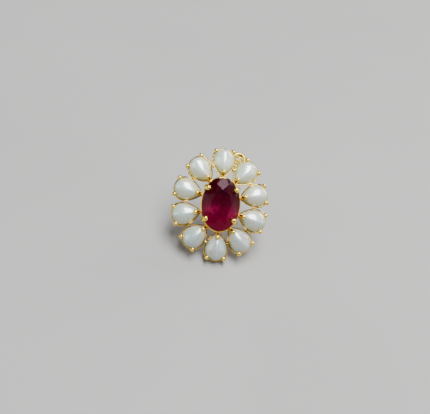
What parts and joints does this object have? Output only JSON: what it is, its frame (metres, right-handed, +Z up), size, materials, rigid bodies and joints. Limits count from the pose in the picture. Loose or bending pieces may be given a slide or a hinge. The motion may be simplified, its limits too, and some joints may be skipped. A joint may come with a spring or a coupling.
{
  "type": "nose pin",
  "caption": "Flower-shaped gold nose pin: a faceted red oval stone ringed by pear-shaped pearl cabochons in claw collets, with a stop and a straight post behind.",
  "frame": {"origin": "middle of the pin's box, on the surface that the pin lies on", "axes": "+X across the face to the wearer's view right, +Z up from the surface; the face looks up and towards -Y, 45.8 degrees above the horizontal"},
  "size_m": [0.0126, 0.0114, 0.0112],
  "materials": {
    "gold": "polished yellow gold",
    "red_stone": "polished facets, deep crimson",
    "pearl": "polished mother of pearl, pale mint and lilac play of colour"
  },
  "bodies": {
    "root": {"gold_setting": "gold", "centre_stone": "red_stone", "petal_stone_01": "pearl", "petal_stone_02": "pearl", "petal_stone_03": "pearl", "petal_stone_04": "pearl", "petal_stone_05": "pearl", "petal_stone_06": "pearl", "petal_stone_07": "pearl", "petal_stone_08": "pearl", "petal_stone_09": "pearl", "petal_stone_10": "pearl"}
  },
  "joints": []
}
